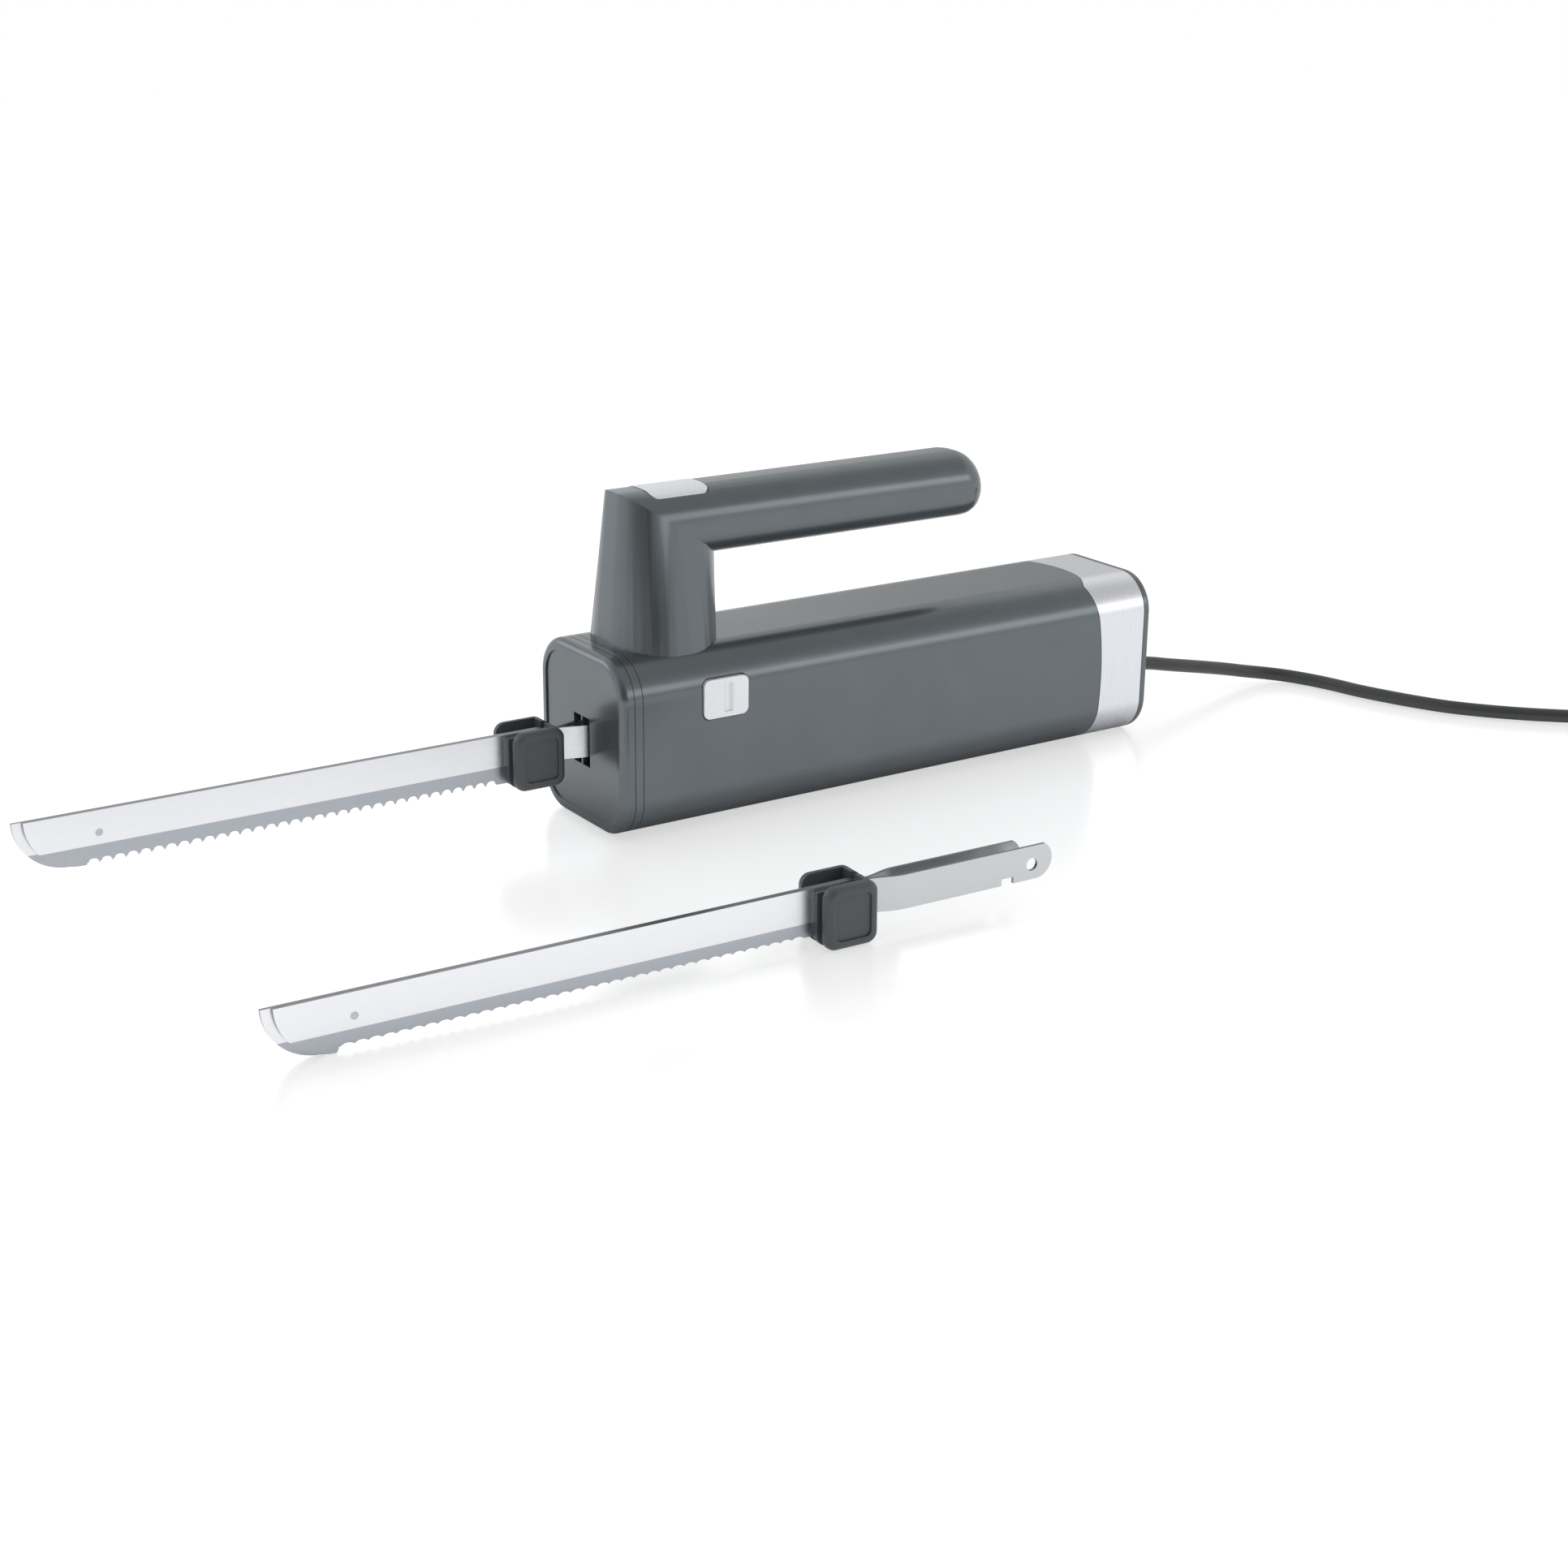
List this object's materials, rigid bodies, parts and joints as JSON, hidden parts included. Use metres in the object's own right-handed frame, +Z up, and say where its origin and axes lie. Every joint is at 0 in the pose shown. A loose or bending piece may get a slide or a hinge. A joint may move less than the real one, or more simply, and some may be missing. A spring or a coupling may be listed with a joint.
{
  "type": "electric carving knife",
  "caption": "Square-bodied electric carving knife with a cantilever grip on a column, paired serrated blades, a mains cord and a spare pair of blades.",
  "frame": {"origin": "centre of the flat bottom of the body, which rests on the table", "axes": "+X along the body from the blades to the cord, +Z up, Y = 0 is the plane between the two blades"},
  "size_m": [0.7476, 0.197, 0.1217],
  "materials": {
    "slate_plastic": "satin slate-grey moulding",
    "guard_plastic": "fine matt dark grey",
    "silver_button": "silver satin lacquer",
    "aluminium_band": "brushed along the height",
    "blade_steel": "satin ground, bevel a little darker",
    "dark_rubber": "matt",
    "nylon": "natural nylon",
    "plain_steel": "bright",
    "brass": "plain",
    "copper": "enamelled wire and copper segments",
    "dark_plastic": "matt",
    "magnet": "dark ferrite",
    "board": "board green",
    "red_plastic": "switch plunger"
  },
  "bodies": {
    "housing": {"nose_cap": "slate_plastic", "nose_collar": "slate_plastic", "body_sleeve": "slate_plastic", "metal_band": "aluminium_band", "rear_cap": "slate_plastic", "chassis": "nylon", "slide_keeper": "nylon", "gear_axle": "plain_steel", "motor_can": "plain_steel", "motor_magnets": "magnet", "motor_end_bell": "dark_plastic", "shaft_bushes": "brass", "carbon_brushes": "dark_plastic", "motor_clamp": "plain_steel", "circuit_board": "board", "board_parts": "dark_plastic", "cord_clamp": "nylon", "handle_shell": "slate_plastic", "grip_cover": "slate_plastic", "switch_holder": "nylon", "micro_switch": "dark_plastic", "key_spring": "plain_steel", "release_spring_left": "plain_steel", "release_spring_right": "plain_steel", "housing_screws": "plain_steel", "handle_screws": "plain_steel", "cord_boot": "dark_rubber", "cord": "dark_rubber", "cord_coil": "dark_rubber", "coil_tie": "dark_rubber", "plug_body": "dark_rubber", "plug_pins": "plain_steel"},
    "rotor": {"motor_shaft": "plain_steel", "worm": "brass", "armature_core": "plain_steel", "armature_winding": "copper", "commutator": "copper", "fan": "dark_plastic"},
    "gear": {"drive_gear": "nylon"},
    "left_carrier": {"carrier_left": "nylon", "latch_pin_left": "plain_steel"},
    "right_carrier": {"carrier_right": "nylon", "latch_pin_right": "plain_steel"},
    "left_latch": {"latch_left": "nylon"},
    "right_latch": {"latch_right": "nylon"},
    "left_blade": {"blade_left": "blade_steel", "guard_left": "guard_plastic", "blade_rivet": "plain_steel"},
    "right_blade": {"blade_right": "blade_steel", "guard_right": "guard_plastic"},
    "on_key": {"on_switch": "silver_button"},
    "plunger": {"switch_plunger": "red_plastic"},
    "left_button": {"release_button_left": "silver_button"},
    "right_button": {"release_button_right": "silver_button"},
    "spare_right": {"spare_blade_right": "blade_steel", "spare_guard_right": "guard_plastic"},
    "spare_left": {"spare_blade_left": "blade_steel", "spare_guard_left": "guard_plastic", "spare_rivet": "plain_steel"}
  },
  "joints": [
    {"name": "motor_turn", "type": "hinge", "parent": "housing", "child": "rotor", "pos_m": [0, 0, 0.027], "axis": [1, 0, 0], "range_deg": [-1800, 1800]},
    {"name": "gear_turn", "type": "hinge", "parent": "housing", "child": "gear", "pos_m": [-0.0395, 0, 0.0449], "axis": [0, 1, 0], "range_deg": [-60.5, 60.5]},
    {"name": "left_stroke", "type": "slide", "parent": "housing", "child": "left_carrier", "axis": [1, 0, 0], "range_m": [-0.00415, 0.00415]},
    {"name": "right_stroke", "type": "slide", "parent": "housing", "child": "right_carrier", "axis": [1, 0, 0], "range_m": [-0.00415, 0.00415]},
    {"name": "left_pull", "type": "slide", "parent": "left_carrier", "child": "left_blade", "axis": [-1, 0, 0], "range_m": [0, 0.066]},
    {"name": "right_pull", "type": "slide", "parent": "right_carrier", "child": "right_blade", "axis": [-1, 0, 0], "range_m": [0, 0.066]},
    {"name": "left_press", "type": "slide", "parent": "housing", "child": "left_button", "axis": [0, 1, 0], "range_m": [0, 0.0024], "stiffness_N_per_m": 300, "springref_m": -0.003, "deforming": ["release_spring_left"]},
    {"name": "right_press", "type": "slide", "parent": "housing", "child": "right_button", "axis": [0, -1, 0], "range_m": [0, 0.0024], "stiffness_N_per_m": 300, "springref_m": -0.003, "deforming": ["release_spring_right"]},
    {"name": "left_latch_turn", "type": "hinge", "parent": "left_carrier", "child": "left_latch", "pos_m": [-0.0799, -0.013, 0.022], "axis": [1, 0, 0], "range_deg": [-5.4, 0]},
    {"name": "right_latch_turn", "type": "hinge", "parent": "right_carrier", "child": "right_latch", "pos_m": [-0.0799, 0.013, 0.022], "axis": [1, 0, 0], "range_deg": [0, 5.4]},
    {"name": "on_press", "type": "slide", "parent": "housing", "child": "on_key", "axis": [0, 0, -1], "range_m": [0, 0.002], "stiffness_N_per_m": 400, "springref_m": -0.003, "deforming": ["key_spring"]},
    {"name": "plunger_press", "type": "slide", "parent": "housing", "child": "plunger", "axis": [0, 0, -1], "range_m": [0, 0.0018]},
    {"name": "spare_lift", "type": "slide", "parent": "housing", "child": "spare_right", "axis": [0, 0, 1], "range_m": [0, 0.1]},
    {"name": "spare_slip", "type": "slide", "parent": "spare_right", "child": "spare_left", "axis": [0.9987, -0.0501, 0], "range_m": [-0.008, 0.008]}
  ],
  "couplings": [
    {"joint": "gear_turn", "follows": "motor_turn", "ratio": 0.033333},
    {"joint": "left_stroke", "follows": "motor_turn", "m_per_rad": 0.00013051},
    {"joint": "right_stroke", "follows": "motor_turn", "m_per_rad": -0.00013051},
    {"joint": "right_pull", "follows": "left_pull", "ratio": 1},
    {"joint": "left_latch_turn", "follows": "left_press", "rad_per_m": -38},
    {"joint": "right_latch_turn", "follows": "right_press", "rad_per_m": 38},
    {"joint": "plunger_press", "follows": "on_press", "ratio": 0.86}
  ]
}
